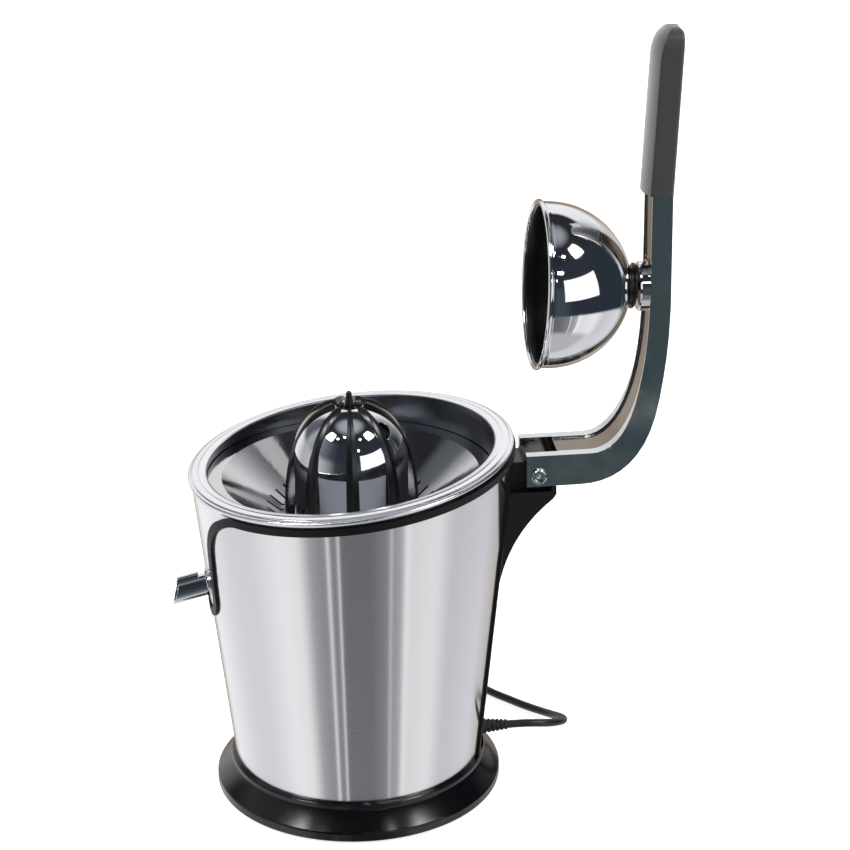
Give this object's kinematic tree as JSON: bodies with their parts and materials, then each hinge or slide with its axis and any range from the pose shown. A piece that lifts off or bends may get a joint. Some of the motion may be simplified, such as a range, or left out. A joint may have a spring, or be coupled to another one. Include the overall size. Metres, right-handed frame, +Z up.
{
  "type": "electric citrus juicer",
  "caption": "Countertop electric citrus juicer with a conical steel body, slanted rim, ribbed reamer, hinged lever arm with a press cup, and a flip-up spout.",
  "frame": {"origin": "on the body's axis at table level, in the plane of the rubber feet's undersides", "axes": "+Z up, -Y towards the spout, +Y towards the lever hinge, +X to the side nearest the camera"},
  "size_m": [0.2756, 0.3041, 0.4659],
  "materials": {
    "black_gloss": "glossy black plastic",
    "black_matte": "satin black plastic",
    "rubber_black": "black rubber",
    "screw_steel": "plain zinc-plated steel",
    "housing_grey": "moulded grey plastic",
    "sleeve_steel": "brushed stainless steel",
    "collar_silver": "polished silver",
    "bowl_grey": "grey moulded plastic",
    "strainer_steel": "satin stainless steel",
    "chrome": "polished chrome",
    "bracket_black": "black moulded plastic",
    "motor_grey": "grey motor can",
    "brass": "plain brass",
    "gear_white": "natural nylon",
    "plunger_red": "red plastic",
    "arm_polished": "polished cast aluminium",
    "grip_grey": "dark grey soft-touch plastic",
    "cord_black": "black flexible sheath"
  },
  "bodies": {
    "stand": {"base_ring": "black_gloss", "bottom_cover": "black_matte", "rubber_feet": "rubber_black", "cover_screws": "screw_steel", "inner_housing": "housing_grey", "spout_mount": "housing_grey", "body_sleeve": "sleeve_steel", "edge_trim": "black_matte", "top_collar": "collar_silver", "front_plate": "collar_silver", "rear_spine": "collar_silver", "juice_bowl": "bowl_grey", "strainer": "strainer_steel", "spout_seal": "rubber_black", "hinge_bracket": "bracket_black", "bracket_screws": "screw_steel", "gear_plate": "screw_steel", "plate_screws": "screw_steel", "gear_motor": "motor_grey", "shaft_bush": "brass", "switch_body": "black_matte", "switch_bracket": "screw_steel", "strain_relief": "rubber_black", "power_cord": "cord_black", "cord_coil": "cord_black", "cord_tail": "cord_black", "cord_tie": "rubber_black", "plug_body": "cord_black", "plug_pins": "chrome"},
    "lever": {"lever_arm": "arm_polished", "hinge_bolt": "chrome", "hinge_nut": "chrome", "handle_grip": "grip_grey", "grip_screw": "screw_steel", "cup_socket": "chrome", "socket_screw": "screw_steel"},
    "cup": {"press_cup": "chrome", "cup_liner": "black_matte", "cup_neck": "black_matte"},
    "drive": {"drive_gear": "gear_white", "return_spring": "screw_steel"},
    "spindle": {"drive_shaft": "screw_steel", "reamer_cone": "chrome", "reamer_ribs": "black_matte", "cone_spike": "black_matte"},
    "motor": {"motor_shaft": "screw_steel", "pinion": "brass"},
    "plunger": {"switch_plunger": "plunger_red"},
    "spout_tube": {"spout": "chrome"}
  },
  "joints": [
    {"name": "lever_hinge", "type": "hinge", "parent": "stand", "child": "lever", "pos_m": [0, 0.1105, 0.201], "axis": [1, 0, 0], "range_deg": [0, 86]},
    {"name": "cup_tilt", "type": "hinge", "parent": "lever", "child": "cup", "pos_m": [0, 0.1744, 0.311], "axis": [1, 0, 0], "range_deg": [-1, 9]},
    {"name": "spout_tilt", "type": "hinge", "parent": "stand", "child": "spout_tube", "pos_m": [0, -0.082, 0.138], "axis": [-1, 0, 0], "range_deg": [0, 25]},
    {"name": "gear_spin", "type": "hinge", "parent": "stand", "child": "drive", "pos_m": [0, 0, 0.1], "axis": [0, 0, 1], "continuous": true},
    {"name": "pinion_spin", "type": "hinge", "parent": "stand", "child": "motor", "pos_m": [0, -0.045, 0.1], "axis": [0, 0, 1], "continuous": true},
    {"name": "press_slide", "type": "slide", "parent": "drive", "child": "spindle", "axis": [0, 0, -1], "range_m": [0, 0.002], "stiffness_N_per_m": 4000, "springref_m": -0.002, "deforming": ["return_spring"]},
    {"name": "plunger_slide", "type": "slide", "parent": "stand", "child": "plunger", "axis": [0, 0, -1], "range_m": [0, 0.002]}
  ],
  "couplings": [
    {"joint": "pinion_spin", "follows": "gear_spin", "ratio": -3},
    {"joint": "plunger_slide", "follows": "press_slide", "ratio": 1}
  ]
}
